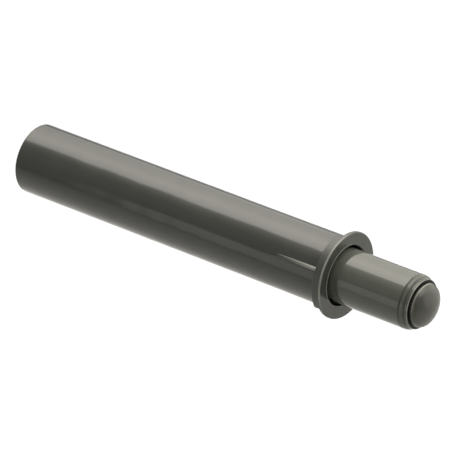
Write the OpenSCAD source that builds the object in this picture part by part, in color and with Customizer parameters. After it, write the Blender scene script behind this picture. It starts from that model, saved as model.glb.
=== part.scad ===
// Press-in cabinet door damper: a sprung hydraulic plunger in a moulded tube.
// The axis of the damper is X. The origin is on the axis, on the face that seats on the cabinet,
// with the nose towards +X and the tube in its drilled hole towards -X.

/* [Housing] */
// Outside diameter of the tube, for a drilled hole of the same size
tube_d = 10; // [9:0.1:12]
// Length of the tube behind the seating face
tube_len = 53; // [52:0.5:65]
// Wall of the tube round the bore that guides the plunger
tube_wall = 1.04; // [0.9:0.02:1.4]
// Thickness of the closed rear end
end_wall = 2; // [1.2:0.1:3]
// Rounding of the rear edge
rear_round = 0.3; // [0.1:0.05:0.6]
// Radial gap round the plunger at the relieved mouth
mouth_gap = 0.38; // [0.2:0.02:0.6]
// Depth of the relieved mouth below the flange's front
mouth_depth = 5; // [2:0.5:12]
// Rounding of the mouth's front edge
mouth_round = 0.22; // [0.1:0.01:0.3]
// Diameter of the flutes that let air out past the plunger
vent_d = 0.8; // [0.5:0.1:1]
// Number of air flutes
vent_count = 2; // [1:1:4]

/* [Flange] */
// Diameter of the flange and of the keyed collar behind it
flange_d = 12.4; // [11.8:0.1:16]
// Thickness of the round rim in front of the collar
rim_t = 0.45; // [0.35:0.05:1]
// Thickness of the keyed collar
key_t = 0.85; // [0.5:0.05:1.5]
// Radial height of the collar's flats above the tube
flat_rise = 0.1; // [0.05:0.05:0.4]
// Rounding of the rim's front edge
rim_round = 0.16; // [0.05:0.01:0.3]
// Turn of the collar's flats about the axis, in degrees
key_turn = -29.5; // [-90:0.5:90]

/* [Grip] */
// Length of the slightly swollen stretch behind the flange
grip_len = 7.6; // [7.4:0.1:12]
// Radial swell of the grip at the flange
grip_swell = 0.03; // [0.01:0.01:0.06]
// Length of each crush rib, to the start of its round tail
rib_len = 7; // [3:0.1:7.2]
// Height of each crush rib at the flange
rib_h = 0.24; // [0.1:0.02:0.4]
// Height of each crush rib at its tail
rib_tail = 0.06; // [0.04:0.01:0.1]
// Width of each crush rib
rib_w = 0.72; // [0.4:0.02:0.9]
// Turn of the ribs from the line square to the collar's flats, in degrees
rib_turn = 1; // [-10:0.5:10]
// Number of crush ribs
rib_count = 2; // [2:2:4]

/* [Plunger] */
// How far the plunger's front edge stands out of the flange at rest
plunger_out = 12.8; // [12.4:0.1:18]
// Travel from rest to fully pushed in
travel = 12; // [6:0.5:12]
// Radial gap between plunger and guide bore
slide_gap = 0.06; // [0.02:0.01:0.1]
// Wall of the barrel round the fluid chamber
barrel_wall = 1.05; // [0.8:0.05:1.2]
// Depth of the rear counterbore's step into the barrel's wall
step_h = 0.15; // [0.1:0.05:0.3]

/* [Nose] */
// Length of the front cap outside the barrel
cap_len = 1.43; // [1.3:0.01:2.5]
// Length of the front cap's spigot inside the barrel
spigot_len = 2.6; // [2.2:0.1:4]
// Wire diameter of the O-ring on the spigot
seal_ring_d = 0.7; // [0.6:0.05:0.8]
// Depth of the O-ring's bed in the spigot
seal_bed_depth = 0.45; // [0.35:0.05:0.55]
// Width of the O-ring's bed
seal_bed_w = 0.9; // [0.8:0.05:1.2]
// Width of the joint and ring grooves
groove_w = 0.24; // [0.1:0.02:0.3]
// Depth of the joint and ring grooves
groove_depth = 0.13; // [0.05:0.01:0.18]
// Distance from the cap's front edge to the ring groove
groove_back = 0.53; // [0.5:0.01:0.6]
// Rounding of the cap's front edge
cap_round = 0.42; // [0.3:0.02:0.5]
// Thickness of the cap's lip round the recess
cap_lip = 0.31; // [0.25:0.01:0.5]
// Depth of the recess that holds the buffer pad
recess_depth = 1; // [0.8:0.05:1.2]
// Width of the pad's ring that shows round the dome
pad_ring_w = 0.47; // [0.2:0.01:0.6]
// How far the dome's tip stands past the cap's front edge
dome_out = 1.72; // [1.3:0.02:2.4]
// Rounding of the dome's shoulder
dome_round = 1.1; // [0.6:0.05:1.2]
// Depth of the pad's top below the cap's front edge
pad_drop = 0.3; // [0.05:0.01:0.4]
// Depth that the dome sinks into the pad
dome_sink = 0.3; // [0.1:0.05:0.4]
// Diameter of the dome's stem
stem_d = 2.2; // [1.6:0.1:3]
// Depth of the stem's hole in the front cap
stem_depth = 1.8; // [1:0.1:2.4]

/* [Rod and piston] */
// Diameter of the piston rod
rod_d = 2; // [1.8:0.1:2.4]
// Depth of the rod's socket in front of the end wall
socket_len = 4.5; // [3:0.5:6]
// Wall of the rod's socket
socket_wall = 1.5; // [1:0.1:1.6]
// Radial step of the rod down to the piston, and again to the spring seat
rod_step = 0.25; // [0.15:0.05:0.3]
// Length of the piston
piston_len = 3; // [2.6:0.1:5]
// Radial gap between piston and barrel
piston_gap = 0.06; // [0.02:0.01:0.1]
// Width of the piston ring
ring_w = 1.2; // [0.8:0.1:1.6]
// Radial depth of the piston ring
ring_depth = 0.5; // [0.4:0.05:0.6]
// Width of the split in the piston ring
ring_split = 0.4; // [0.2:0.05:0.8]
// Diameter of the piston's ports
port_d = 0.7; // [0.4:0.05:0.8]
// Number of ports in the piston
port_count = 4; // [2:1:5]
// Thickness of the valve disc
disc_t = 0.25; // [0.15:0.05:0.4]
// Lift of the valve disc
valve_lift = 0.25; // [0.1:0.05:0.5]
// Thickness of the spring seat's flange
seat_t = 0.7; // [0.5:0.1:1.2]
// Length of the spring seat's hub in front of its flange
hub_len = 1.2; // [0.8:0.1:2]

/* [Return spring] */
// Wire diameter
wire_d = 0.45; // [0.3:0.05:0.55]
// Radial gap between the coil and the barrel
coil_gap = 0.7; // [0.4:0.05:0.8]
// Length of the spring when the plunger is fully in
pressed_len = 10.5; // [9:0.5:14]
// Turns in all, with one closed turn at each end
coil_turns = 15; // [8:1:15]

/* [Rear seals] */
// Gap between piston and washer when the plunger is out
stop_gap = 0.1; // [0.05:0.05:0.6]
// Thickness of the perforated foam washer
foam_washer_t = 0.6; // [0.4:0.1:1]
// Number of holes in the foam washer
washer_holes = 6; // [3:1:8]
// Length of the compensator foam
foam_len = 6; // [3:0.5:8]
// Thickness of the backup washer
backup_t = 0.5; // [0.3:0.1:1]
// Length of the rod seal
seal_len = 1.6; // [1.2:0.1:2.4]
// Length of the rod guide inside the barrel
guide_len = 3; // [2:0.25:4]
// Thickness of the rod guide's rear flange
guide_flange_t = 0.8; // [0.5:0.1:1.2]
// Radial gap of the guide and seal on the rod
rod_gap = 0.05; // [0.02:0.01:0.1]

/* [Hidden] */
// Facets of round pieces
turn_fn = 96;
// Rings per turn and sides of the spring's wire
wire_rings = 20;
wire_sides = 8;
// Overlap of a cut past the face that it opens
cut = 0.5;
// Gap of loose pieces inside the barrel
loose_gap = 0.04;
// Gap between the spring's end turns and their seats
seat_gap = 0.03;
// Ease of the dome's crown, so that its arc crosses the shoulder's instead of just touching it
arc_ease = 0.001;

// Radii
tube_r = tube_d / 2;
flange_r = flange_d / 2;
flat_r = tube_r + flat_rise;
guide_bore_r = tube_r - tube_wall;
plunger_r = guide_bore_r - slide_gap;
mouth_r = plunger_r + mouth_gap;
chamber_r = plunger_r - barrel_wall;
stack_r = chamber_r + step_h;
recess_r = plunger_r - cap_lip;
dome_r = recess_r - pad_ring_w;
stem_r = stem_d / 2;
rod_r = rod_d / 2;
rod_mid_r = rod_r - rod_step;
rod_tip_r = rod_mid_r - rod_step;
socket_r = rod_r + socket_wall;
piston_r = chamber_r - piston_gap;
ring_bed_r = chamber_r - ring_depth;
coil_r = chamber_r - coil_gap - wire_d / 2;
hub_r = coil_r - wire_d;
disc_r = ring_bed_r;
port_ring_r = (rod_mid_r + ring_bed_r) / 2;

// Stations along the axis, from the front back
flange_front = key_t + rim_t;
cap_front = flange_front + plunger_out;
joint_x = cap_front - cap_len;
recess_floor = cap_front - recess_depth;
pad_top = cap_front - pad_drop;
dome_foot = pad_top - dome_sink;
dome_tip = cap_front + dome_out;
spigot_end = joint_x - spigot_len;
spring_front = spigot_end;
spring_len = travel + pressed_len;
spring_back = spring_front - spring_len;
seat_back = spring_back - seat_t;
piston_front = seat_back - valve_lift - disc_t;
piston_back = piston_front - piston_len;
stop_x = piston_back - stop_gap;
foam_front = stop_x - foam_washer_t;
foam_back = foam_front - foam_len;
seal_front = foam_back - backup_t;
seal_back = seal_front - seal_len;
barrel_back = seal_back - guide_len;
tube_back = -tube_len;
tube_floor = tube_back + end_wall;
socket_front = tube_floor + socket_len;

// O-ring on the spigot, squeezed between its bed and the barrel
seal_bed_r = chamber_r - seal_bed_depth;
seal_ring_x = (joint_x + spigot_end) / 2;

// Colours as the photo shows them, and usual ones inside
dust_grey = [0.36, 0.36, 0.33];
soft_grey = [0.40, 0.40, 0.37];
black = [0.04, 0.04, 0.04];
steel = [0.72, 0.73, 0.74];
acetal = [0.90, 0.89, 0.85];
foam_blue = [0.32, 0.38, 0.46];

// Turns a profile about the damper's axis: its x is the radius, its y the place along the axis
module turned() {
    rotate([0, 90, 0]) rotate_extrude($fn = turn_fn) children();
}

// Section of a plain ring between two radii and two stations
module band(r_in, r_out, x0, x1) {
    translate([r_in, x0]) square([r_out - r_in, x1 - x0]);
}

// Section of a rod with its front corner rounded
module rounded_front(r_out, x0, x1, round_r) {
    band(0, r_out - round_r, x0, x1);
    band(0, r_out, x0, x1 - round_r);
    translate([r_out - round_r, x1 - round_r]) circle(round_r, $fn = turn_fn);
}

// Cylinder along the axis between two stations
module bar(r, x0, x1) {
    translate([x0, 0, 0]) rotate([0, 90, 0]) cylinder(r = r, h = x1 - x0, $fn = turn_fn);
}

// Repeats a piece about the axis
module around(count) {
    for (i = [0 : count - 1]) rotate([360 / count * i, 0, 0]) children();
}

// V groove round a part of the given radius, as a section
module groove_section(r, x) {
    half_w = groove_w / 2 * (1 + cut / groove_depth);
    polygon([[r - groove_depth, x], [r + cut, x - half_w], [r + cut, x + half_w]]);
}

// One crush rib: a round bar that rises out of the tube from its ball end towards the flange
module crush_rib() {
    rib_r = rib_w / 2;
    slope = atan((rib_h - rib_tail) / rib_len);
    translate([-rib_len, 0, tube_r + rib_tail - rib_r])
        rotate([0, 90 - slope, 0]) {
            sphere(rib_r, $fn = turn_fn);
            cylinder(r = rib_r, h = (rib_len + key_t / 2) / cos(slope), $fn = turn_fn);
        }
}

// Keyed collar: a disc with two opposite flats
module key_collar() {
    intersection() {
        bar(flange_r, 0, key_t);
        translate([key_t / 2, 0, 0]) cube([key_t * 2, flange_d * 2, flat_r * 2], center = true);
    }
}

// Tube with its rounded rear edge, the swollen grip and the round rim of the flange
module tube_body() {
    turned() {
        mirror([0, 1]) rounded_front(tube_r, grip_len, tube_len, rear_round);
        polygon([
            [0, -grip_len], [tube_r, -grip_len],
            [tube_r + grip_swell, 0], [tube_r, key_t], [0, key_t]
        ]);
        rounded_front(flange_r, key_t, flange_front, rim_round);
    }
}

// Space inside the tube, round the rod's socket, with the relieved and rounded mouth
module tube_space() {
    mouth_floor = flange_front - mouth_depth;
    turned() {
        band(socket_r, guide_bore_r, tube_floor, socket_front);
        band(0, rod_r, tube_floor, socket_front);
        band(0, guide_bore_r, socket_front, mouth_floor);
        band(0, mouth_r, mouth_floor, flange_front + cut);
        difference() {
            band(0, mouth_r + mouth_round, flange_front - mouth_round, flange_front + cut);
            translate([mouth_r + mouth_round, flange_front - mouth_round])
                circle(mouth_round, $fn = turn_fn);
        }
    }
    around(vent_count)
        translate([0, 0, guide_bore_r]) bar(vent_d / 2, tube_floor, mouth_floor);
}

module housing() {
    color(dust_grey)
        difference() {
            union() {
                tube_body();
                rotate([key_turn, 0, 0]) {
                    key_collar();
                    rotate([90 + rib_turn, 0, 0]) around(rib_count) crush_rib();
                }
            }
            tube_space();
        }
}

module damper_cylinder() {
    color(dust_grey)
        turned()
            difference() {
                band(0, plunger_r, barrel_back, joint_x);
                band(-cut, chamber_r, stop_x, joint_x + cut);
                band(-cut, stack_r, barrel_back - cut, stop_x);
                groove_section(plunger_r, joint_x);
            }
}

module front_cap() {
    color(dust_grey)
        turned()
            difference() {
                union() {
                    band(0, chamber_r, spigot_end, joint_x);
                    rounded_front(plunger_r, joint_x, cap_front, cap_round);
                }
                band(-cut, recess_r, recess_floor, cap_front + cut);
                band(-cut, stem_r, recess_floor - stem_depth, recess_floor + cut);
                translate([seal_bed_r, seal_ring_x - seal_bed_w / 2]) square([chamber_r, seal_bed_w]);
                groove_section(plunger_r, joint_x);
                groove_section(plunger_r, cap_front - groove_back);
            }
}

module buffer_pad() {
    color(black)
        turned()
            difference() {
                band(stem_r + loose_gap, recess_r, recess_floor, pad_top);
                band(0, dome_r, dome_foot, pad_top + cut);
            }
}

// Section of the dome: a rounded shoulder that runs into a flatter crown where the two arcs meet
module dome_section() {
    shoulder = dome_r - dome_round;
    crown_r = (dome_out ^ 2 + shoulder ^ 2 - dome_round ^ 2) / (2 * (dome_out - dome_round));
    crown_x = dome_tip - crown_r;
    spread = shoulder / (cap_front - crown_x);
    top = dome_tip + cut;
    band(0, dome_r, dome_foot, cap_front);
    intersection() {
        translate([shoulder, cap_front]) circle(dome_round, $fn = turn_fn);
        band(shoulder, dome_r, dome_foot, top);
    }
    intersection() {
        translate([0, crown_x]) circle(crown_r - arc_ease, $fn = turn_fn);
        polygon([
            [0, dome_foot], [0, top], [(top - crown_x) * spread, top],
            [shoulder, cap_front], [shoulder, dome_foot]
        ]);
    }
}

module dome_cap() {
    color(soft_grey)
        turned() {
            dome_section();
            band(0, stem_r, recess_floor - stem_depth, dome_foot);
        }
}

module cap_seal() {
    color(black)
        turned()
            intersection() {
                translate([(seal_bed_r + chamber_r) / 2, seal_ring_x])
                    circle(d = seal_ring_d, $fn = turn_fn);
                band(seal_bed_r, chamber_r, seal_ring_x - seal_ring_d, seal_ring_x + seal_ring_d);
            }
}

module piston_rod() {
    head_r = rod_tip_r + rod_step;
    head_t = rod_step;
    color(steel)
        turned() {
            band(0, rod_r, tube_floor, piston_back);
            band(0, rod_mid_r, piston_back, seat_back);
            band(0, rod_tip_r, seat_back, spring_back + hub_len);
            band(0, head_r, spring_back + hub_len, spring_back + hub_len + head_t);
        }
}

module piston() {
    ring_x = (piston_front + piston_back) / 2;
    color(acetal)
        difference() {
            turned()
                difference() {
                    band(rod_mid_r, piston_r, piston_back, piston_front);
                    band(ring_bed_r, piston_r + cut, ring_x - ring_w / 2, ring_x + ring_w / 2);
                }
            around(port_count)
                translate([0, 0, port_ring_r]) bar(port_d / 2, piston_back - cut, piston_front + cut);
        }
}

module piston_ring() {
    ring_x = (piston_front + piston_back) / 2;
    ring_r = chamber_r - piston_gap / 2;
    color(black)
        difference() {
            turned() band(ring_bed_r, ring_r, ring_x - ring_w / 2, ring_x + ring_w / 2);
            translate([ring_x, 0, chamber_r])
                cube([ring_w * 2, ring_split, ring_depth * 4], center = true);
        }
}

module valve_disc() {
    color(steel)
        turned() band(rod_mid_r + rod_gap, disc_r, piston_front, piston_front + disc_t);
}

module spring_seat() {
    color(acetal)
        turned()
            difference() {
                union() {
                    band(0, coil_r + wire_d / 2, seat_back, spring_back);
                    band(0, hub_r, spring_back, spring_back + hub_len);
                }
                band(-cut, rod_tip_r, seat_back - cut, spring_back + hub_len + cut);
            }
}

// Height of the wire's centre after t turns: closed end turns, even pitch between
function coil_rise(t) =
    let (
        low = wire_d / 2 + seat_gap,
        open_turns = coil_turns - 2,
        pitch = (spring_len - 2 * low - 2 * wire_d) / open_turns,
        closed_t = min(t, 1) + max(t - open_turns - 1, 0),
        open_t = min(max(t - 1, 0), open_turns)
    )
    low + wire_d * closed_t + pitch * open_t;

// One ring of points round the wire's centre after t turns
function wire_ring(t) = [
    for (k = [0 : wire_sides - 1])
        let (a = 360 * t, b = 360 * k / wire_sides, r = coil_r + wire_d / 2 * cos(b))
        [spring_back + coil_rise(t) + wire_d / 2 * sin(b), r * cos(a), r * sin(a)]
];

module return_spring() {
    rings = coil_turns * wire_rings;
    points = [for (i = [0 : rings]) each wire_ring(i / wire_rings)];
    sides = [
        for (i = [0 : rings - 1], k = [0 : wire_sides - 1])
            let (n = (k + 1) % wire_sides, p = i * wire_sides, q = p + wire_sides)
            [p + k, p + n, q + n, q + k]
    ];
    start_cap = [[for (k = [wire_sides - 1 : -1 : 0]) k]];
    end_cap = [[for (k = [0 : wire_sides - 1]) rings * wire_sides + k]];
    color(steel) polyhedron(points, concat(sides, start_cap, end_cap));
}

module foam_washer() {
    hole_ring_r = (rod_r + stack_r) / 2;
    color(steel)
        difference() {
            turned() band(rod_r + rod_gap * 2, stack_r - loose_gap, foam_front, stop_x);
            around(washer_holes)
                translate([0, 0, hole_ring_r]) bar(port_d / 2, foam_front - cut, stop_x + cut);
        }
}

module compensator_foam() {
    color(foam_blue)
        turned() band(rod_r + rod_gap * 2, stack_r - loose_gap, foam_back, foam_front);
}

module backup_washer() {
    color(acetal)
        turned() band(rod_r + rod_gap * 2, stack_r - loose_gap, seal_front, foam_back);
}

module rod_seal() {
    lip = (stack_r - rod_r) / 3;
    color(black)
        turned()
            difference() {
                band(rod_r + rod_gap, stack_r, seal_back, seal_front);
                band(rod_r + lip, stack_r - lip, seal_back + seal_len / 2, seal_front + cut);
            }
}

module rod_guide() {
    color(acetal)
        turned()
            difference() {
                union() {
                    band(0, stack_r, barrel_back, seal_back);
                    band(0, plunger_r - step_h, barrel_back - guide_flange_t, barrel_back);
                }
                band(-cut, rod_r + rod_gap, barrel_back - guide_flange_t - cut, seal_back + cut);
            }
}

housing();
damper_cylinder();
front_cap();
buffer_pad();
dome_cap();
cap_seal();
piston_rod();
piston();
piston_ring();
valve_disc();
spring_seat();
return_spring();
foam_washer();
compensator_foam();
backup_washer();
rod_seal();
rod_guide();
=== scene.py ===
"""Looks of a press-in cabinet door damper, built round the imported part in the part's own frame.

The damper lies along X, with its nose towards +X. Sizes are written in millimetres and turned to metres
where a mesh is made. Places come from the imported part, so every piece sits where the part says.
"""

import logging
import math
from dataclasses import dataclass, field
from enum import Enum
from typing import Any, Sequence

import bmesh
import bpy
from mathutils import Matrix, Quaternion, Vector


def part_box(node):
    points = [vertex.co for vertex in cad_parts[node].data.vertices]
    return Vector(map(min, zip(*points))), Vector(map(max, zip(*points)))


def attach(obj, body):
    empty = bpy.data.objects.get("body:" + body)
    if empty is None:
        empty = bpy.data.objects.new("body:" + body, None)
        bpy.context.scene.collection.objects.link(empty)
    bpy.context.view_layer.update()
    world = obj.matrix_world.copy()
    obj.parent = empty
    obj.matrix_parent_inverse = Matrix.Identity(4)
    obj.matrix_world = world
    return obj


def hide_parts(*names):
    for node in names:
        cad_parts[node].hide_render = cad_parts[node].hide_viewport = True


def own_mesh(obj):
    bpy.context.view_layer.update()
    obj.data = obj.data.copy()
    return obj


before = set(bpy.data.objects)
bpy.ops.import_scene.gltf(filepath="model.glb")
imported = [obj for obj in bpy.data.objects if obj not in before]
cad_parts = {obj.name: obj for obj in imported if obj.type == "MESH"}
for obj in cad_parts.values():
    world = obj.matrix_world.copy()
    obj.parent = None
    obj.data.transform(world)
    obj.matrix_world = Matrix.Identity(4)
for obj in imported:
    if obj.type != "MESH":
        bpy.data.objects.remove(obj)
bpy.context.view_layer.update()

LOG = logging.getLogger("damper")
Tree = bpy.types.NodeTree
Socket = bpy.types.NodeSocket
MM = 0.001
TURN_STEPS = 192
RIB_STEPS = 64
ARC_STEPS = 10
DOME_STEPS = 30
VENT_SIDES = 24
MERGE_M = 1e-7
SLIVER_M = 1e-8
SORT_DIGITS = 10
NOISE_RANGE = (0.3, 0.7)
CLOUD_NOISE = {"Detail": 4.0, "Roughness": 0.55}
GRAIN_NOISE = {"Detail": 3.0, "Roughness": 0.6}
WAVE_NOISE = {"Detail": 1.0}


class Body(Enum):
    """Bodies that the pieces ride on."""

    HOUSING = "housing"
    PLUNGER = "plunger"


class Carving(Enum):
    """Ways in which a tool works on a piece, by the Boolean modifier's names."""

    CUT = "DIFFERENCE"
    JOIN = "UNION"


class Slot(Enum):
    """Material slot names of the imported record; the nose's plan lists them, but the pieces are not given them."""

    TUBE = "tube_plastic"
    PLUNGER = "plunger_plastic"
    NOSE = "soft_nose"
    RUBBER = "black_rubber"
    SPRING = "spring_steel"


def linear(hex_colour: str) -> tuple[float, float, float, float]:
    """Turn an sRGB hex colour into linear light.

    Args:
        hex_colour: Six hex digits, with or without a leading hash.

    Returns:
        Red, green, blue and an alpha of one.
    """
    digits = hex_colour.lstrip("#")
    levels = [int(digits[i:i + 2], 16) / 255 for i in (0, 2, 4)]
    parts = [v / 12.92 if v <= 0.04045 else ((v + 0.055) / 1.055) ** 2.4 for v in levels]
    return (parts[0], parts[1], parts[2], 1.0)


def per_size(size_mm: float) -> float:
    """Return the texture scale at which one feature of a pattern measures size_mm."""
    return 1 / (size_mm * MM)


def add_node(
    tree: Tree,
    kind: str,
    settings: dict[str, Any] | None = None,
    values: dict[str | int, Any] | None = None,
    links: dict[str | int, Socket] | None = None,
) -> bpy.types.Node:
    """Add one node, with its settings, its fixed inputs and its links.

    Args:
        tree: Node tree that takes the node.
        kind: Node type, such as ShaderNodeBump.
        settings: Attributes of the node.
        values: Inputs set to a constant.
        links: Inputs fed by another node's output.

    Returns:
        The new node.
    """
    node = tree.nodes.new(kind)
    for name, value in (settings or {}).items():
        setattr(node, name, value)
    for name, value in (values or {}).items():
        node.inputs[name].default_value = value
    for name, source in (links or {}).items():
        tree.links.new(source, node.inputs[name])
    return node


@dataclass(frozen=True)
class Finish:
    """A surface: its colour, its gloss and the fine relief that its making left on it.

    The listed turned edges, by place along the axis and radius, get a painted highlight: a paler colour on the side
    that faces the light.
    """

    name: str
    colour: str
    colour_alt: str
    roughness: float
    roughness_alt: float
    ior: float = 1.5
    metallic: float = 0.0
    subsurface: float = 0.0
    cloud_mm: float = 4.0
    grain_mm: float = 0.3
    grain_stretch: tuple[float, float, float] = (1.0, 1.0, 1.0)
    grain_height_mm: float = 0.001
    cells: bool = False
    wave_mm: float = 6.0
    wave_height_mm: float = 0.0
    # Painted highlights on turned edges: their places, width, softness, colour and lit side.
    highlight_edges_mm: tuple[tuple[float, float], ...] = ()
    highlight_mm: float = 0.12
    highlight_soft: float = 0.3
    highlight_colour: str = "#000000"
    highlight_side: tuple[float, float, float] = (0.0, -0.8, 0.6)
    highlight_turn: tuple[float, float] = (0.3, 0.75)

    def material(self) -> bpy.types.Material:
        """Make the material.

        Returns:
            A node material on Object coordinates.
        """
        made = bpy.data.materials.get(self.name)
        if made:
            return made
        made = bpy.data.materials.new(self.name)
        made.use_nodes = True
        tree = made.node_tree
        tree.nodes.clear()
        place = add_node(tree, "ShaderNodeTexCoord").outputs["Object"]
        cloud = self.cloud(tree, place)
        grain = self.grain(tree, place)
        shader = add_node(
            tree,
            "ShaderNodeBsdfPrincipled",
            values={"IOR": self.ior, "Metallic": self.metallic, "Subsurface Weight": self.subsurface},
            links={
                "Base Color": self.tint(tree, place, cloud),
                "Roughness": self.gloss(tree, place, grain),
                "Normal": self.relief(tree, place, grain),
            },
        )
        add_node(tree, "ShaderNodeOutputMaterial", links={"Surface": shader.outputs["BSDF"]})
        return made

    def cloud(self, tree: Tree, place: Socket) -> Socket:
        """Add a soft mottle, as pigment and flow leave in a moulding.

        Args:
            tree: Node tree that takes the nodes.
            place: Object coordinates.

        Returns:
            The mottle, from zero to one.
        """
        values = {"Scale": per_size(self.cloud_mm), **CLOUD_NOISE}
        return add_node(tree, "ShaderNodeTexNoise", values=values, links={"Vector": place}).outputs["Fac"]

    def grain(self, tree: Tree, place: Socket) -> Socket:
        """Add the fine relief of the surface, stretched the way that it was worked.

        Args:
            tree: Node tree that takes the nodes.
            place: Object coordinates.

        Returns:
            The grain's height, from zero to one.
        """
        mapped = add_node(tree, "ShaderNodeMapping", values={"Scale": self.grain_stretch}, links={"Vector": place})
        kind, output, detail = "ShaderNodeTexNoise", "Fac", GRAIN_NOISE
        if self.cells:
            kind, output, detail = "ShaderNodeTexVoronoi", "Distance", {}
        values = {"Scale": per_size(self.grain_mm), **detail}
        return add_node(tree, kind, values=values, links={"Vector": mapped.outputs["Vector"]}).outputs[output]

    def tint(self, tree: Tree, place: Socket, cloud: Socket) -> Socket:
        """Add the colour, which drifts a little between its two shades and carries a painted highlight on the listed
        edges.

        Args:
            tree: Node tree that takes the nodes.
            place: Object coordinates.
            cloud: Mottle that carries the drift.

        Returns:
            The colour.
        """
        ramp = add_node(tree, "ShaderNodeValToRGB", links={"Fac": cloud})
        shades = (self.colour, self.colour_alt)
        for element, position, shade_hex in zip(ramp.color_ramp.elements, NOISE_RANGE, shades):
            element.position, element.color = position, linear(shade_hex)
        return self.paint_highlights(tree, place, ramp.outputs["Color"]) if self.highlight_edges_mm else ramp.outputs["Color"]

    def paint_highlights(self, tree: Tree, place: Socket, colour: Socket) -> Socket:
        """Paint a highlight on the turned edges: a paler colour on the side that faces the light.

        Args:
            tree: Node tree that takes the nodes.
            place: Object coordinates.
            colour: Colour away from the edges.

        Returns:
            The colour with its edges.
        """
        profile = self.profile(tree, place)
        across = add_node(tree, "ShaderNodeVectorMath", {"operation": "MULTIPLY"}, {1: (0, 1, 1)}, {0: place})
        out = add_node(tree, "ShaderNodeVectorMath", {"operation": "NORMALIZE"}, links={0: across.outputs["Vector"]})
        turned = add_node(
            tree, "ShaderNodeVectorMath", {"operation": "DOT_PRODUCT"},
            {1: self.highlight_side}, {0: out.outputs["Vector"]},
        )
        start, full = self.highlight_turn
        reach = self.highlight_mm * MM
        for along, radius in self.highlight_edges_mm:
            off = add_node(
                tree, "ShaderNodeVectorMath", {"operation": "DISTANCE"},
                {1: (along * MM, radius * MM, 0)}, {0: profile},
            )
            near = add_node(
                tree, "ShaderNodeMapRange",
                values={"From Min": reach * (1 + self.highlight_soft), "From Max": reach * (1 - self.highlight_soft)},
                links={"Value": off.outputs["Value"]},
            )
            # Painted highlight: paler only where the edge faces the lit side.
            painted_highlight = add_node(
                tree, "ShaderNodeMapRange", values={"From Min": start, "From Max": full},
                links={"Value": turned.outputs["Value"], "To Max": near.outputs["Result"]},
            )
            mixed = add_node(
                tree, "ShaderNodeMix", {"data_type": "RGBA"}, {"B": linear(self.highlight_colour)},
                {"Factor": painted_highlight.outputs["Result"], "A": colour},
            )
            colour = mixed.outputs["Result"]
        return colour

    @staticmethod
    def profile(tree: Tree, place: Socket) -> Socket:
        """Find the place on a turned piece's profile.

        Args:
            tree: Node tree that takes the nodes.
            place: Object coordinates.

        Returns:
            A vector, along the axis in X and away from it in Y.
        """
        along = add_node(tree, "ShaderNodeSeparateXYZ", links={"Vector": place}).outputs["X"]
        across = add_node(tree, "ShaderNodeVectorMath", {"operation": "MULTIPLY"}, {1: (0, 1, 1)}, {0: place})
        radius = add_node(tree, "ShaderNodeVectorMath", {"operation": "LENGTH"}, links={0: across.outputs["Vector"]})
        joined = add_node(tree, "ShaderNodeCombineXYZ", links={"X": along, "Y": radius.outputs["Value"]})
        return joined.outputs["Vector"]

    def gloss(self, tree: Tree, place: Socket, grain: Socket) -> Socket:
        """Add the roughness, broken up by the grain.

        Args:
            tree: Node tree that takes the nodes.
            place: Object coordinates, which a finish of several textures needs.
            grain: Height of the grain.

        Returns:
            The roughness.
        """
        low, high = NOISE_RANGE
        spread = add_node(
            tree,
            "ShaderNodeMapRange",
            values={"From Min": low, "From Max": high, "To Min": self.roughness, "To Max": self.roughness_alt},
            links={"Value": grain},
        )
        return spread.outputs["Result"]

    def relief(self, tree: Tree, place: Socket, grain: Socket) -> Socket:
        """Add the grain's bump, at its real height, over the slow waves that shrinkage leaves.

        Args:
            tree: Node tree that takes the nodes.
            place: Object coordinates.
            grain: Height of the grain.

        Returns:
            The bumped normal.
        """
        bump = add_node(
            tree, "ShaderNodeBump", values={"Strength": 1.0, "Distance": self.grain_height_mm * MM},
            links={"Height": grain},
        )
        if self.wave_height_mm:
            values = {"Scale": per_size(self.wave_mm), **WAVE_NOISE}
            noise = add_node(tree, "ShaderNodeTexNoise", values=values, links={"Vector": place})
            wave = add_node(
                tree, "ShaderNodeBump", values={"Strength": 1.0, "Distance": self.wave_height_mm * MM},
                links={"Height": noise.outputs["Fac"]},
            )
            tree.links.new(wave.outputs["Normal"], bump.inputs["Normal"])
        return bump.outputs["Normal"]


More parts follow.
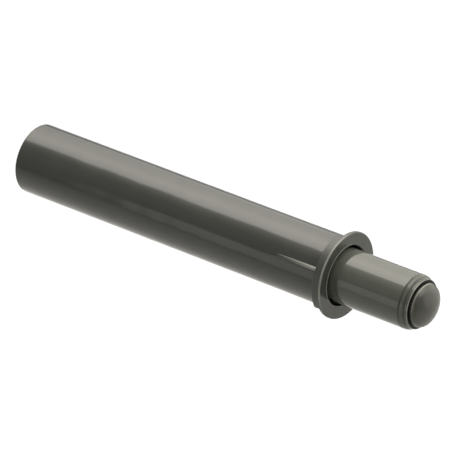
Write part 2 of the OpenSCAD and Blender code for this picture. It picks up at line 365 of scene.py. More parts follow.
@dataclass(frozen=True)
class TwoTextureFinish(Finish):
    """A moulding with a polished body and a spark-eroded, duller flange in front of a line along X.

    The flange's flat face is polished again, as far out as its round edge, and the ribs' crests carry a painted
    highlight.
    """

    line_mm: float = 0.0
    blend_mm: float = 0.1
    dull_roughness: float = 0.4
    face_mm: float = 1.0
    face_blend_mm: float = 0.02
    face_radius_mm: float = 1.0
    rim_blend_mm: float = 0.03
    # Radius beyond which the rib crests get their painted highlight.
    crest_highlight_mm: float = 1.0
    crest_highlight_blend_mm: float = 0.06

    def paint_highlights(self, tree: Tree, place: Socket, colour: Socket) -> Socket:
        """Paint highlights: a paler colour on the listed edges and along the crests of the ribs.

        Args:
            tree: Node tree that takes the nodes.
            place: Object coordinates.
            colour: Colour away from edges and crests.

        Returns:
            The colour with its edges and crests.
        """
        axes = add_node(tree, "ShaderNodeSeparateXYZ", links={"Vector": self.profile(tree, place)})
        # Painted highlight along the ribs' crests, kept off the flange.
        high = self.step(tree, axes.outputs["Y"], self.crest_highlight_mm, self.crest_highlight_blend_mm)
        flange = self.step(tree, axes.outputs["X"], self.line_mm, self.blend_mm)
        mixed = add_node(
            tree, "ShaderNodeMix", {"data_type": "RGBA"}, {"B": linear(self.highlight_colour)},
            {"Factor": self.without(tree, high, flange), "A": super().paint_highlights(tree, place, colour)},
        )
        return mixed.outputs["Result"]

    def gloss(self, tree: Tree, place: Socket, grain: Socket) -> Socket:
        """Add the roughness, which steps up where the flange's texture starts and down again on its face.

        Args:
            tree: Node tree that takes the nodes.
            place: Object coordinates.
            grain: Height of the grain.

        Returns:
            The roughness.
        """
        polished = super().gloss(tree, place, grain)
        axes = add_node(tree, "ShaderNodeSeparateXYZ", links={"Vector": self.profile(tree, place)})
        flange = self.step(tree, axes.outputs["X"], self.line_mm, self.blend_mm)
        front = self.step(tree, axes.outputs["X"], self.face_mm, self.face_blend_mm)
        outside = self.step(tree, axes.outputs["Y"], self.face_radius_mm, self.rim_blend_mm)
        dull = self.without(tree, flange, self.without(tree, front, outside))
        mixed = add_node(
            tree, "ShaderNodeMix", values={"B": self.dull_roughness}, links={"Factor": dull, "A": polished},
        )
        return mixed.outputs["Result"]

    @staticmethod
    def without(tree: Tree, zone: Socket, other: Socket) -> Socket:
        """Return a zone from which another zone is taken."""
        settings = {"operation": "SUBTRACT", "use_clamp": True}
        return add_node(tree, "ShaderNodeMath", settings, links={0: zone, 1: other}).outputs["Value"]

    @staticmethod
    def step(tree: Tree, source: Socket, line_mm: float, blend_mm: float) -> Socket:
        """Step from zero to one where a length passes a line.

        Args:
            tree: Node tree that takes the node.
            source: Length in metres.
            line_mm: Middle of the step.
            blend_mm: Half of its width.

        Returns:
            The step's output.
        """
        low, high = (line_mm - blend_mm) * MM, (line_mm + blend_mm) * MM
        made = add_node(
            tree, "ShaderNodeMapRange", values={"From Min": low, "From Max": high}, links={"Value": source},
        )
        return made.outputs["Result"]


# The grain of a real tool, grinding wheel or die is some hundredths of a millimetre wide, and too fine for the
# picture, so each grain size below is drawn coarser, at a tenth of a millimetre or more.

# Injection-moulded ABS, mass coloured: a polished tool leaves the tube glossy, the flange's insert leaves it dull
TUBE_ABS = TwoTextureFinish(
    "moulded_abs_tube", "#3b3d39", "#3f413d", 0.10, 0.15, ior=1.52,
    grain_mm=0.35, grain_stretch=(0.06, 1.0, 1.0), grain_height_mm=0.0006, line_mm=-0.05,
    # The crest and edge values paint highlights on the rib crests, the flange's round rim and the mouth's edge.
    wave_mm=5.0, wave_height_mm=0.08, face_mm=1.24, face_radius_mm=6.05, crest_highlight_mm=5.13,
    highlight_edges_mm=((1.26, 6.17), (1.30, 4.50)), highlight_mm=0.16, highlight_colour="#80827b",
)
# The same ABS from a finer tool: a shade lighter, with ring marks from the lathe-cut cavity
PLUNGER_ABS = Finish(
    "moulded_abs_plunger", "#4c4f48", "#50534c", 0.05, 0.08, ior=1.5,
    grain_mm=0.35, grain_stretch=(1.0, 0.1, 0.1), grain_height_mm=0.0004,
    wave_mm=4.0, wave_height_mm=0.03,
    # Painted highlight: a paler colour on the lit side of the cap's front lip.
    highlight_edges_mm=((13.89, 3.47),), highlight_mm=0.10, highlight_colour="#888b82",
)
# Soft thermoplastic elastomer, satin from a blasted tool, so reflections are broad
NOSE_TPE = Finish(
    "satin_elastomer_nose", "#43443e", "#474842", 0.26, 0.32, ior=1.5, grain_mm=0.25, grain_height_mm=0.002,
    # Painted highlight: a paler colour round the dome's shoulder, on its upper lit side.
    highlight_edges_mm=((14.27, 3.10),), highlight_mm=0.16, highlight_colour="#74756d", highlight_side=(0.0, -0.4, 0.9),
)
# Moulded nitrile rubber, matt black with a faint bloom; on the nose pad this black is partly painted shade, standing
# for the dark gap round the dome's neck
NITRILE = Finish("matt_nitrile_rubber", "#0b0b0b", "#121211", 0.55, 0.7, grain_mm=0.2, grain_height_mm=0.003)
# Centreless-ground carbon steel: fine rings round the rod
GROUND_STEEL = Finish(
    "ground_steel", "#b9bbbd", "#c6c8ca", 0.16, 0.3, metallic=1.0,
    grain_mm=0.12, grain_stretch=(1.0, 0.1, 0.1), grain_height_mm=0.0008,
)
# Drawn spring wire: darker, with die lines
SPRING_WIRE = Finish("drawn_spring_wire", "#8d8f92", "#a0a2a5", 0.25, 0.4, metallic=1.0, grain_mm=0.15)
# Natural acetal: waxy, slightly translucent white
ACETAL = Finish("natural_acetal", "#dedbd0", "#e6e4da", 0.3, 0.42, subsurface=0.15, grain_mm=0.3)
# Closed-cell nitrile foam: a skin of small cells
FOAM = Finish(
    "closed_cell_foam", "#47525f", "#54606d", 0.75, 0.9, grain_mm=0.35, grain_height_mm=0.08, cells=True,
)


@dataclass(frozen=True)
class Corner:
    """One corner of a turned section: its place along the axis, its radius and its rounding, in millimetres."""

    x: float
    r: float
    round_mm: float = 0.0


def section(corners: Sequence[Corner], closed: bool) -> bmesh.types.BMesh:
    """Draw a section in the XY plane and round its corners.

    Args:
        corners: Corners in order.
        closed: True for a ring's section, False for one that starts and ends on the axis.

    Returns:
        A mesh of edges alone.
    """
    bm = bmesh.new()
    verts = [bm.verts.new((c.x * MM, c.r * MM, 0.0)) for c in corners]
    pairs = list(zip(verts, verts[1:]))
    if closed:
        pairs.append((verts[-1], verts[0]))
    for start, end in pairs:
        bm.edges.new((start, end))
    for vert, corner in zip(verts, corners):
        if corner.round_mm > 0:
            bmesh.ops.bevel(
                bm, geom=[vert], offset=corner.round_mm * MM, offset_type="OFFSET", affect="VERTICES",
                segments=ARC_STEPS, profile=0.5, material=-1,
            )
    return bm


def turn(bm: bmesh.types.BMesh, steps: int = TURN_STEPS) -> None:
    """Spin a section about the damper's axis into a closed skin.

    Args:
        bm: Section in the XY plane.
        steps: Sides of the turned piece.
    """
    bmesh.ops.spin(
        bm, geom=bm.verts[:] + bm.edges[:], cent=(0, 0, 0), axis=(1, 0, 0),
        angle=math.tau, steps=steps, use_merge=True,
    )
    close_skin(bm)


def close_skin(bm: bmesh.types.BMesh) -> None:
    """Merge doubles, drop slivers at poles and cuts, and turn the faces outwards.

    Args:
        bm: Closed mesh that is changed.
    """
    bmesh.ops.remove_doubles(bm, verts=bm.verts, dist=MERGE_M)
    bmesh.ops.dissolve_degenerate(bm, edges=bm.edges, dist=SLIVER_M)
    bmesh.ops.recalc_face_normals(bm, faces=bm.faces)


def mid_point(item: bmesh.types.BMVert | bmesh.types.BMEdge | bmesh.types.BMFace) -> tuple[float, ...]:
    """Find the middle of a part of a mesh, to sort by.

    Args:
        item: Vertex, edge or face.

    Returns:
        Its middle in metres, rounded.
    """
    verts = [item] if isinstance(item, bmesh.types.BMVert) else item.verts
    total = sum((v.co for v in verts), Vector())
    return tuple(round(c / len(verts), SORT_DIGITS) for c in total)


def as_object(name: str, bm: bmesh.types.BMesh) -> bpy.types.Object:
    """Put a finished bmesh into the scene, with its parts in the same order each run.

    Args:
        name: Name of the piece.
        bm: Mesh, which is freed.

    Returns:
        The new object, at the origin.
    """
    for items in (bm.verts, bm.edges, bm.faces):
        rank = {item: place for place, item in enumerate(sorted(items, key=mid_point))}
        items.sort(key=rank.get)
    mesh = bpy.data.meshes.new(name)
    bm.to_mesh(mesh)
    bm.free()
    made = bpy.data.objects.new(name, mesh)
    bpy.context.scene.collection.objects.link(made)
    return made


def shade(piece: bpy.types.Object, crease_deg: float = 32.0) -> None:
    """Shade a piece smooth, apart from edges sharper than crease_deg."""
    piece.data.polygons.foreach_set("use_smooth", [True] * len(piece.data.polygons))
    piece.data.set_sharp_from_angle(angle=math.radians(crease_deg))


def carve(piece: bpy.types.Object, tools: Sequence[bpy.types.Object], carving: Carving) -> None:
    """Cut tools from a piece, or add them to it, and delete the tools.

    Args:
        piece: Mesh object that is changed.
        tools: Closed mesh objects.
        carving: What the tools do.
    """
    for tool in tools:
        step = piece.modifiers.new("carve", "BOOLEAN")
        step.operation, step.object, step.solver = carving.value, tool, "EXACT"
    graph = bpy.context.evaluated_depsgraph_get()
    worked = bpy.data.meshes.new_from_object(piece.evaluated_get(graph))
    piece.modifiers.clear()
    piece.data = worked
    bm = bmesh.new()
    bm.from_mesh(worked)
    close_skin(bm)
    bm.to_mesh(worked)
    bm.free()
    for tool in tools:
        bpy.data.objects.remove(tool)


def mount_piece(piece: bpy.types.Object, body: Body, finish: Finish, node: str) -> None:
    """Dress a new piece, and let it ride on its body and stand for its CAD node.

    Args:
        piece: Finished mesh object.
        body: Body that carries it.
        finish: Surface of the piece.
        node: CAD node that it stands for.
    """
    piece.data.materials.clear()
    piece.data.materials.append(finish.material())
    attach(piece, body.value)
    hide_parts(node)


@dataclass
class Span:
    """Reach of a CAD node along the axis, and its largest radius, in millimetres."""

    back: float
    front: float
    radius: float

    @classmethod
    def of(cls, node: str) -> "Span":
        """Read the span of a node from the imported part."""
        low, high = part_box(node)
        return cls(low.x / MM, high.x / MM, max(high.y, high.z) / MM)


@dataclass
class Housing:
    """The moulded tube with its flange, keyed collar and crush ribs."""

    tube_r: float = 5.0
    guide_bore_r: float = 3.96
    mouth_r: float = 4.28
    mouth_depth: float = 5.0
    mouth_round: float = 0.22
    end_wall: float = 2.0
    rear_round: float = 0.3
    key_t: float = 0.85
    flat_r: float = 5.1
    key_turn_deg: float = -29.5
    rim_round: float = 0.16
    back_round: float = 0.05
    grip_len: float = 7.6
    grip_swell: float = 0.03
    rib_len: float = 7.0
    rib_h: float = 0.24
    rib_tail: float = 0.06
    rib_w: float = 0.72
    rib_turn_deg: float = 91.0
    socket_r: float = 2.5
    socket_len: float = 4.5
    vent_d: float = 0.8
    span: Span = field(default_factory=lambda: Span.of("housing"))
    rod: Span = field(default_factory=lambda: Span.of("piston_rod"))

    def build(self) -> bpy.types.Object:
        """Make the housing.

        Returns:
            The dressed piece.
        """
        bm = section(self.corners(), closed=False)
        turn(bm)
        piece = as_object("housing_tube", bm)
        carve(piece, [*self.flat_cutters(), *self.vent_cutters()], Carving.CUT)
        carve(piece, self.ribs(), Carving.JOIN)
        shade(piece)
        mount_piece(piece, Body.HOUSING, TUBE_ABS, "housing")
        return piece

    def corners(self) -> list[Corner]:
        """Draw the section from the rear, round the flange and back along the bore.

        Returns:
            Corners in order.
        """
        back, front, flange_r = self.span.back, self.span.front, self.span.radius
        floor = back + self.end_wall
        socket_front = floor + self.socket_len
        mouth_floor = front - self.mouth_depth
        return [
            Corner(back, 0.0),
            Corner(back, self.tube_r, self.rear_round),
            Corner(-self.grip_len, self.tube_r),
            Corner(0.0, self.tube_r + self.grip_swell),
            Corner(0.0, flange_r, self.back_round),
            Corner(front, flange_r, self.rim_round),
            Corner(front, self.mouth_r, self.mouth_round),
            Corner(mouth_floor, self.mouth_r),
            Corner(mouth_floor, self.guide_bore_r),
            Corner(floor, self.guide_bore_r),
            Corner(floor, self.socket_r),
            Corner(socket_front, self.socket_r),
            Corner(socket_front, self.rod.radius),
            Corner(floor, self.rod.radius),
            Corner(floor, 0.0),
        ]

    def flat_cutters(self) -> list[bpy.types.Object]:
        """Make two blocks that cut the collar's flats, up to the back of the rim.

        Returns:
            The two blocks.
        """
        height = self.span.radius
        cutters = []
        for side in (1, -1):
            bm = bmesh.new()
            bmesh.ops.create_cube(bm, size=1.0)
            bmesh.ops.scale(bm, vec=Vector((2 * self.key_t, 4 * height, height)) * MM, verts=bm.verts)
            bmesh.ops.translate(bm, vec=Vector((0, 0, side * (self.flat_r + height / 2))) * MM, verts=bm.verts)
            bmesh.ops.rotate(
                bm, cent=(0, 0, 0), matrix=Matrix.Rotation(math.radians(self.key_turn_deg), 3, "X"), verts=bm.verts,
            )
            cutters.append(as_object("flat_cutter", bm))
        return cutters

    def vent_cutters(self) -> list[bpy.types.Object]:
        """Make two rods that cut the air flutes along the guide bore.

        Returns:
            The two rods.
        """
        floor = self.span.back + self.end_wall
        length = self.span.front - self.mouth_depth - floor
        cutters = []
        for side in (1, -1):
            bm = bmesh.new()
            bmesh.ops.create_cone(
                bm, cap_ends=True, segments=VENT_SIDES, radius1=self.vent_d / 2 * MM, radius2=self.vent_d / 2 * MM,
                depth=length * MM,
            )
            bmesh.ops.rotate(bm, cent=(0, 0, 0), matrix=Matrix.Rotation(math.pi / 2, 3, "Y"), verts=bm.verts)
            bmesh.ops.translate(
                bm, vec=Vector((floor + length / 2, 0, side * self.guide_bore_r)) * MM, verts=bm.verts,
            )
            cutters.append(as_object("vent_cutter", bm))
        return cutters

    def ribs(self) -> list[bpy.types.Object]:
        """Make the two crush ribs: ball-ended bars that rise out of the tube towards the collar.

        Returns:
            The two ribs.
        """
        rib_r = self.rib_w / 2
        slope = math.atan2(self.rib_h - self.rib_tail, self.rib_len)
        length = (self.rib_len + self.key_t / 2) / math.cos(slope)
        corners = [Corner(-rib_r, 0.0), Corner(-rib_r, rib_r, rib_r), Corner(length, rib_r), Corner(length, 0.0)]
        ribs = []
        for side in (0, 1):
            bm = section(corners, closed=False)
            turn(bm, steps=RIB_STEPS)
            turn_to = math.radians(self.key_turn_deg + self.rib_turn_deg) + side * math.pi
            seat = Vector((-self.rib_len, 0, self.tube_r + self.rib_tail - rib_r)) * MM
            lean = Matrix.Rotation(-slope, 4, "Y")
            place = Matrix.Rotation(turn_to, 4, "X") @ Matrix.Translation(seat) @ lean
            bmesh.ops.transform(bm, matrix=place, verts=bm.verts)
            ribs.append(as_object("crush_rib", bm))
        return ribs


@dataclass
class Plunger:
    """The sliding barrel with its front cap, buffer pad and domed nose.

    The ring is the cap's second groove, the shoulder is where its side starts to fall, the lip is its thin front
    edge, and the neck is the dome's waist above the pad.
    """

    barrel_wall: float = 1.05
    step_h: float = 0.15
    stop_x: float = -16.73
    groove_w: float = 0.30
    groove_depth: float = 0.18
    ring_x: float = 13.36
    ring_r: float = 3.71
    cap_len: float = 1.43
    shoulder_x: float = 12.95
    shoulder_r: float = 3.865
    lip_x: float = 13.90
    lip_r: float = 3.45
    lip_w: float = 0.03
    neck_r: float = 2.80
    neck_rise: float = 0.13
    seal_bed_depth: float = 0.45
    seal_bed_w: float = 0.9
    stem_r: float = 1.1
    dome_round: float = 1.1
    dome_sink: float = 0.3
    loose_gap: float = 0.04
    edge_round: float = 0.03
    end_round: float = 0.09
    barrel: Span = field(default_factory=lambda: Span.of("damper_cylinder"))
    cap: Span = field(default_factory=lambda: Span.of("front_cap"))
    pad: Span = field(default_factory=lambda: Span.of("buffer_pad"))
    dome: Span = field(default_factory=lambda: Span.of("dome_cap"))

    def build(self) -> list[bpy.types.Object]:
        """Make the barrel and the pieces of the nose.

        Returns:
            The dressed pieces.
        """
        plan = (
            ("plunger_barrel", self.barrel_corners(), True, Slot.PLUNGER, PLUNGER_ABS, "damper_cylinder"),
            ("nose_cap", self.cap_corners(), False, Slot.PLUNGER, PLUNGER_ABS, "front_cap"),
            # The nose pad is black rubber whose black also serves as painted shade for the gap below the dome.
            ("nose_pad", self.pad_corners(), True, Slot.RUBBER, NITRILE, "buffer_pad"),
        )
        pieces = []
        for name, corners, closed, slot, finish, node in plan:
            bm = section(corners, closed)
            turn(bm)
            pieces.append(as_object(name, bm))
            shade(pieces[-1])
            mount_piece(pieces[-1], Body.PLUNGER, finish, node)
        pieces.append(self.build_dome())
        return pieces

    def cap_front(self) -> float:
        """Return the plane of the solid cap's front edge, in which the dome is widest."""
        return self.barrel.front + self.cap_len

    def barrel_corners(self) -> list[Corner]:
        """Draw the barrel's ring section, with half of the joint groove at its front.

        Returns:
            Corners in order.
        """
        back, front, outer = self.barrel.back, self.barrel.front, self.barrel.radius
        chamber = outer - self.barrel_wall
        return [
            Corner(back, outer, self.end_round),
            Corner(front - self.groove_w / 2, outer, self.edge_round),
            Corner(front, outer - self.groove_depth),
            Corner(front, chamber),
            Corner(self.stop_x, chamber),
            Corner(self.stop_x, chamber + self.step_h),
            Corner(back, chamber + self.step_h),
        ]

    def cap_corners(self) -> list[Corner]:
        """Draw the cap's section, with its grooves, falling shoulder, thin lip, recess and seal bed.

        Returns:
            Corners in order.
        """
        outer, joint, spigot_end = self.barrel.radius, self.barrel.front, self.cap.back
        chamber = outer - self.barrel_wall
        half_w, depth = self.groove_w / 2, self.groove_depth
        seal_x = (joint + spigot_end) / 2
        bed_r, bed_w = chamber - self.seal_bed_depth, self.seal_bed_w / 2
        lip_r = self.lip_r + self.lip_w
        slope = (self.ring_r - lip_r) / (self.lip_x - self.ring_x)
        return [
            Corner(spigot_end, 0.0),
            Corner(spigot_end, chamber),
            Corner(seal_x - bed_w, chamber),
            Corner(seal_x - bed_w, bed_r),
            Corner(seal_x + bed_w, bed_r),
            Corner(seal_x + bed_w, chamber),
            Corner(joint, chamber),
            Corner(joint, outer - depth),
            Corner(joint + half_w, outer, self.edge_round),
            Corner(self.shoulder_x, self.shoulder_r, self.end_round),
            Corner(self.ring_x - half_w, self.ring_r + slope * half_w, self.edge_round),
            Corner(self.ring_x, self.ring_r - depth),
            Corner(self.ring_x + half_w, self.ring_r - slope * half_w, self.edge_round),
            Corner(self.lip_x, lip_r, self.lip_w / 2),
            Corner(self.lip_x, self.lip_r),
            Corner(self.pad.back, self.lip_r),
            Corner(self.pad.back, self.stem_r),
            Corner(self.dome.back, self.stem_r),
            Corner(self.dome.back, 0.0),
        ]

    def pad_corners(self) -> list[Corner]:
        """Draw the pad's ring section, with the seat that the dome sinks into.

        Returns:
            Corners in order.
        """
        back, front, outer = self.pad.back, self.pad.front, self.lip_r
        inner = self.stem_r + self.loose_gap
        seat = front - self.dome_sink
        return [
            Corner(back, inner),
            Corner(back, outer),
            Corner(front, outer, self.edge_round),
            Corner(front, self.neck_r, self.edge_round),
            Corner(seat, self.neck_r),
            Corner(seat, inner),
        ]

    def build_dome(self) -> bpy.types.Object:
        """Make the dome from two tangent arcs, over a neck that leaves a dark gap above the pad, on its stem.

        Returns:
            The dressed piece.
        """
        front, tip, dome_r = self.cap_front(), self.dome.front, self.dome.radius
        rise = tip - front
        shoulder = dome_r - self.dome_round
        crown_r = (rise ** 2 + shoulder ** 2 - self.dome_round ** 2) / (2 * (rise - self.dome_round))
        lean = math.atan2(shoulder, front - (tip - crown_r))
        bm = bmesh.new()
        start = bm.verts.new((tip * MM, 0, 0))
        end = self.arc(bm, start, (tip - crown_r, 0), lean)
        under = math.asin(self.neck_rise / self.dome_round)
        end = self.arc(bm, end, (front, shoulder), math.pi / 2 - lean - under)
        foot = self.pad.front - self.dome_sink
        for x, r in (
            (front + self.neck_rise / 2, self.neck_r), (foot, self.neck_r), (foot, self.stem_r),
            (self.dome.back, self.stem_r), (self.dome.back, 0.0),
        ):
            following = bm.verts.new((x * MM, r * MM, 0))
            bm.edges.new((end, following))
            end = following
        turn(bm)
        piece = as_object("nose_dome", bm)
        shade(piece)
        mount_piece(piece, Body.PLUNGER, NOSE_TPE, "dome_cap")
        return piece

    @staticmethod
    def arc(
        bm: bmesh.types.BMesh, start: bmesh.types.BMVert, centre: tuple[float, float], angle: float,
    ) -> bmesh.types.BMVert:
        """Spin a vertex into an arc in the XY plane.

        Args:
            bm: Mesh that takes the arc.
            start: First vertex.
            centre: Centre along and off the axis, in millimetres.
            angle: Turn in radians, from the axis outwards.

        Returns:
            The arc's last vertex.
        """
        spun = bmesh.ops.spin(
            bm, geom=[start], cent=(centre[0] * MM, centre[1] * MM, 0), axis=(0, 0, 1),
            angle=angle, steps=DOME_STEPS,
        )
        return next(e for e in spun["geom_last"] if isinstance(e, bmesh.types.BMVert))


@dataclass
class ReturnSpring:
    """The coil spring inside the barrel, which shortens as the plunger goes in."""

    wire_d: float = 0.45
    turns: int = 15
    steps_per_turn: int = 32
    wire_sides: int = 14
    crease_deg: float = 50.0
    joint: str = "plunger_slide"
    span: Span = field(default_factory=lambda: Span.of("return_spring"))

    def build(self) -> bpy.types.Object:
        """Sweep the wire through its closed end turns and its open coil.

        Returns:
            The dressed piece.
        """
        wire_r = self.wire_d / 2
        coil_r = self.span.radius - wire_r
        length = self.span.front - self.span.back
        # The two closed end turns and the wire's own thickness take up three wire diameters
        pitch = (length - 3 * self.wire_d) / (self.turns - 2)
        bm = bmesh.new()
        bmesh.ops.create_circle(bm, cap_ends=True, segments=self.wire_sides, radius=wire_r * MM)
        bmesh.ops.translate(bm, vec=Vector((self.span.back + wire_r, coil_r, 0)) * MM, verts=bm.verts)
        ends: list[Any] = bm.faces[:]
        seams: list[bmesh.types.BMFace] = []
        for turns, rise in ((1, self.wire_d), (self.turns - 2, pitch), (1, self.wire_d)):
            steps = self.steps_per_turn * turns
            spun = bmesh.ops.spin(
                bm, geom=ends, cent=(0, 0, 0), axis=(1, 0, 0), dvec=(rise * MM / self.steps_per_turn, 0, 0),
                angle=math.tau * turns, steps=steps,
            )
            ends = [e for e in spun["geom_last"] if isinstance(e, bmesh.types.BMFace)]
            seams += ends
        bmesh.ops.delete(bm, geom=seams[:-1], context="FACES_ONLY")
        close_skin(bm)
        piece = as_object("coil_spring", bm)
        shade(piece, self.crease_deg)
        mount_piece(piece, Body.HOUSING, SPRING_WIRE, "return_spring")
        self.follow_joint(piece)
        return piece

    def follow_joint(self, piece: bpy.types.Object) -> None:
        """Give the coil a mesh of its own.

        Args:
            piece: The coil.
        """
        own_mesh(piece)


@dataclass
class InnerParts:
    """Inner pieces whose CAD shape is already right, each with its own finish."""

    finishes: dict[str, Finish] = field(
        default_factory=lambda: {
            "piston_rod": GROUND_STEEL,
            "valve_disc": GROUND_STEEL,
            "foam_washer": GROUND_STEEL,
            "piston": ACETAL,
            "spring_seat": ACETAL,
            "backup_washer": ACETAL,
            "rod_guide": ACETAL,
            "cap_seal": NITRILE,
            "piston_ring": NITRILE,
            "rod_seal": NITRILE,
            "compensator_foam": FOAM,
        }
    )

    def dress(self) -> list[bpy.types.Object]:
        """Give each piece its material.

        Returns:
            The dressed pieces.
        """
        pieces = [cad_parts[node] for node in self.finishes]
        for piece, finish in zip(pieces, self.finishes.values()):
            piece.data.materials.clear()
            piece.data.materials.append(finish.material())
        return pieces


@dataclass
class Studio:
    """Floor, lights and camera."""

    image_px: int = 454
    focal_px: float = 5275.8
    sensor_mm: float = 36.0
    aim_mm: tuple[float, float, float] = (-19.72, 0.68, 0.0)
    distance_mm: float = 724.5
    azimuth_deg: float = 38.254
    elevation_deg: float = 30.131
    roll_deg: float = -0.743
    clip_m: tuple[float, float] = (0.05, 20.0)
    floor_z_mm: float = -170.0
    floor_x_mm: tuple[float, float] = (-2000.0, 2000.0)
    floor_y_mm: tuple[float, float] = (-600.0, 2000.0)
    floor_colour: str = "#cfd1d0"
    floor_roughness: float = 0.9
    backdrop_colour: str = "#e1e4ec"
    backdrop_x_mm: tuple[float, float] = (-60.0, -130.0)
    backdrop_y_mm: tuple[float, float] = (100.0, 160.0)
    world_level: float = 0.22
    lamp_colour: str = "#fff9f1"
    panel_radius_mm: float = 900.0
    panel_low_deg: float = -4.0
    panel_high_deg: float = 128.0
    panel_x_mm: tuple[float, float] = (-640.0, 520.0)
    panel_level: float = 5.0
    panel_fade: tuple[tuple[float, float], ...] = (
        (-4.0, 0.16), (4.0, 0.25), (7.5, 0.29), (23.6, 0.31), (47.5, 0.57), (71.6, 0.96), (87.6, 1.0),
        (98.0, 0.98), (102.5, 0.27), (111.5, 0.12), (119.5, 0.07), (128.0, 0.03),
    )
    panel_along: tuple[tuple[float, float], ...] = (
        (-640.0, 0.04), (-540.0, 0.36), (-450.0, 0.62), (-350.0, 0.80), (-266.0, 0.90), (-217.0, 1.0), (-160.0, 1.0),
        (-100.0, 0.88), (0.0, 0.68), (120.0, 0.60), (240.0, 0.60), (400.0, 0.60), (520.0, 0.40),
    )
    card_away_mm: float = 500.0
    card_x_mm: tuple[float, float] = (-400.0, 230.0)
    card_z_mm: tuple[float, float] = (-140.0, 104.0)
    card_level: float = 0.77
    wing_away_mm: float = 600.0
    wing_turn_deg: float = 47.0
    wing_width_mm: float = 900.0
    wing_z_mm: tuple[float, float] = (-165.0, 300.0)
    wing_level: float = 1.15

    def build(self) -> None:
        """Make the floor, the lights and the camera."""
        self.floor()
        self.world()
        self.softbox()
        self.cards()
        self.camera()

    def floor(self) -> None:
        """Lay a plain pale floor under the damper, white in the part that the camera sees behind it."""
        bm = bmesh.new()
        (left, right), (near, far) = self.floor_x_mm, self.floor_y_mm
        middle = Vector(((left + right) / 2, (near + far) / 2, self.floor_z_mm))
        bmesh.ops.create_grid(bm, x_segments=1, y_segments=1, size=0.5)
        bmesh.ops.scale(bm, vec=Vector((right - left, far - near, 1)) * MM, verts=bm.verts)
        bmesh.ops.translate(bm, vec=middle * MM, verts=bm.verts)
        floor = as_object("floor", bm)
        paint = bpy.data.materials.new("matt_white_floor")
        paint.use_nodes = True
        tree = paint.node_tree
        shader = tree.nodes["Principled BSDF"]
        shader.inputs["Roughness"].default_value = self.floor_roughness
        place = add_node(tree, "ShaderNodeTexCoord").outputs["Object"]
        axes = add_node(tree, "ShaderNodeSeparateXYZ", links={"Vector": place})
        white = add_node(tree, "ShaderNodeMath", {"operation": "MULTIPLY"})
        for slot, (axis, (start, end)) in enumerate({"X": self.backdrop_x_mm, "Y": self.backdrop_y_mm}.items()):
            fade = add_node(
                tree, "ShaderNodeMapRange", {"interpolation_type": "SMOOTHSTEP"},
                {"From Min": start * MM, "From Max": end * MM}, {"Value": axes.outputs[axis]},
            )
            tree.links.new(fade.outputs["Result"], white.inputs[slot])
        colour = add_node(tree, "ShaderNodeValToRGB", links={"Fac": white.outputs["Value"]})
        for element, tone in zip(colour.color_ramp.elements, (self.floor_colour, self.backdrop_colour)):
            element.color = linear(tone)
        tree.links.new(colour.outputs["Color"], shader.inputs["Base Color"])
        floor.data.materials.append(paint)

    def world(self) -> None:
        """Fill the room with an even grey."""
        world = bpy.data.worlds.new("studio")
        world.use_nodes = True
        ground = world.node_tree.nodes["Background"]
        ground.inputs["Color"].default_value = (1, 1, 1, 1)
        ground.inputs["Strength"].default_value = self.world_level
        bpy.context.scene.world = world

    def softbox(self) -> None:
        """Hang the long softbox that leans over the damper from behind, brightest where its lamp is near the cloth."""
        low, high = (
            Vector((0, math.cos(a), math.sin(a))) * self.panel_radius_mm * MM
            for a in (math.radians(self.panel_low_deg), math.radians(self.panel_high_deg))
        )
        left, right = self.panel_x_mm
        middle = (low + high) / 2 + Vector(((left + right) / 2 * MM, 0, 0))
        lamp = self.lamp("softbox", middle, Vector(((right - left) * MM, 0, 0)), high - low, self.panel_level)
        lamp.use_nodes = True
        tree = lamp.node_tree
        place = add_node(tree, "ShaderNodeNewGeometry").outputs["Parametric"]
        cloth = add_node(tree, "ShaderNodeSeparateXYZ", links={"Vector": place})
        # The lamp faces the damper with its own X turned towards -X
        along = [((right - x) / (right - left), level) for x, level in reversed(self.panel_along)]
        across = [(self.height(angle), level) for angle, level in self.panel_fade]
        level = add_node(
            tree, "ShaderNodeMath", {"operation": "MULTIPLY"},
            links={0: self.ramp(tree, cloth.outputs["X"], along), 1: self.ramp(tree, cloth.outputs["Y"], across)},
        )
        tree.links.new(level.outputs["Value"], tree.nodes["Emission"].inputs["Strength"])

    def height(self, angle_deg: float) -> float:
        """Find the share of the panel's height that is seen at an angle about the damper's axis.

        Args:
            angle_deg: Angle from +Y towards +Z.

        Returns:
            Zero at the panel's low edge and one at its high edge.
        """
        before = math.sin(math.radians(angle_deg - self.panel_low_deg))
        after = math.sin(math.radians(self.panel_high_deg - angle_deg))
        return before / (before + after)

    @staticmethod
    def ramp(tree: Tree, source: Socket, stops: Sequence[tuple[float, float]]) -> Socket:
        """Add a level that follows stops over a source from zero to one.

        Args:
            tree: Node tree that takes the node.
            source: Value from zero to one.
            stops: Position and level of each stop, in order.

        Returns:
            The ramp's output.
        """
        made = add_node(tree, "ShaderNodeValToRGB", links={"Fac": source})
        elements = made.color_ramp.elements
        for _ in stops[2:]:
            elements.new(0.5)
        for element, (position, level) in zip(elements, stops):
            element.position, element.color = position, (level, level, level, 1)
        return made.outputs["Color"]

    def cards(self) -> None:
        """Stand a weak card in front, seen as a faint band, and a white one beyond the nose."""
        left, right = self.card_x_mm
        low, high = self.card_z_mm
        middle = Vector(((left + right) / 2, -self.card_away_mm, (low + high) / 2)) * MM
        run, up = Vector(((right - left) * MM, 0, 0)), Vector((0, 0, (high - low) * MM))
        self.lamp("front_card", middle, run, up, self.card_level)
        low, high = self.wing_z_mm
        swing = math.radians(self.wing_turn_deg)
        away = Vector((math.cos(swing), math.sin(swing), 0)) * self.wing_away_mm
        run = Vector((math.sin(swing), -math.cos(swing), 0)) * self.wing_width_mm * MM
        middle = (away + Vector((0, 0, (low + high) / 2))) * MM
        self.lamp("nose_card", middle, run, Vector((0, 0, (high - low) * MM)), self.wing_level)

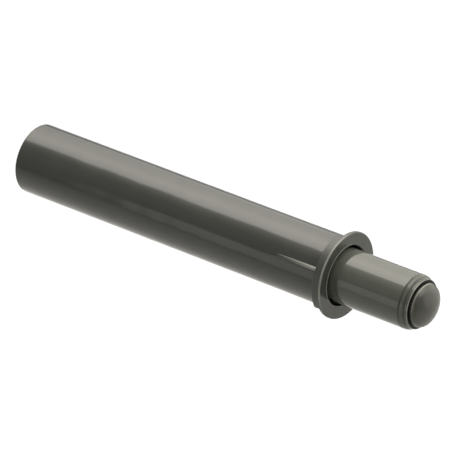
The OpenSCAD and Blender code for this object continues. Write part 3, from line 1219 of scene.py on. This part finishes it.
    def lamp(self, name: str, middle: Vector, run: Vector, up: Vector, level: float) -> bpy.types.AreaLight:
        """Hang an area lamp that faces the damper.

        Args:
            name: Name of the lamp.
            middle: Middle of the lamp, in metres.
            run: Its level edge, in metres.
            up: Its other edge, from low to high, in metres.
            level: Brightness of its face, where one is white.

        Returns:
            The lamp's data.
        """
        side = run.normalized()
        facing = side.cross(up).normalized()
        if facing.dot(middle) < 0:
            side, facing = -side, -facing
        data = bpy.data.lights.new(name, "AREA")
        data.shape = "RECTANGLE"
        data.size, data.size_y = run.length, up.length
        data.energy = level * math.pi * data.size * data.size_y
        data.color = linear(self.lamp_colour)[:3]
        made = bpy.data.objects.new(name, data)
        turn_to = Matrix((side, up.normalized(), facing)).transposed()
        made.matrix_world = Matrix.Translation(middle) @ turn_to.to_4x4()
        made.visible_camera = False
        bpy.context.scene.collection.objects.link(made)
        return data

    def camera(self) -> None:
        """Stand the camera at the photograph's viewing angle."""
        azimuth, elevation = math.radians(self.azimuth_deg), math.radians(self.elevation_deg)
        back = Vector((
            math.sin(azimuth) * math.cos(elevation),
            -math.cos(azimuth) * math.cos(elevation),
            math.sin(elevation),
        ))
        data = bpy.data.cameras.new("camera")
        data.sensor_width = self.sensor_mm
        data.lens = self.sensor_mm * self.focal_px / self.image_px
        data.clip_start, data.clip_end = self.clip_m
        camera = bpy.data.objects.new("camera", data)
        camera.location = (Vector(self.aim_mm) + back * self.distance_mm) * MM
        camera.rotation_mode = "QUATERNION"
        roll = Quaternion((0, 0, 1), math.radians(self.roll_deg))
        camera.rotation_quaternion = (-back).to_track_quat("-Z", "Y") @ roll
        bpy.context.scene.collection.objects.link(camera)
        bpy.context.scene.camera = camera


def main() -> None:
    """Build the damper's pieces, dress the inner ones, report each and set the studio."""
    logging.basicConfig(level=logging.INFO)
    bpy.context.scene.view_settings.view_transform = "Standard"
    for piece in (Housing().build(), *Plunger().build(), ReturnSpring().build(), *InnerParts().dress()):
        LOG.info("%s: %d faces in %s", piece.name, len(piece.data.polygons), piece.data.materials[0].name)
    Studio().build()


if __name__ == "__main__":
    main()
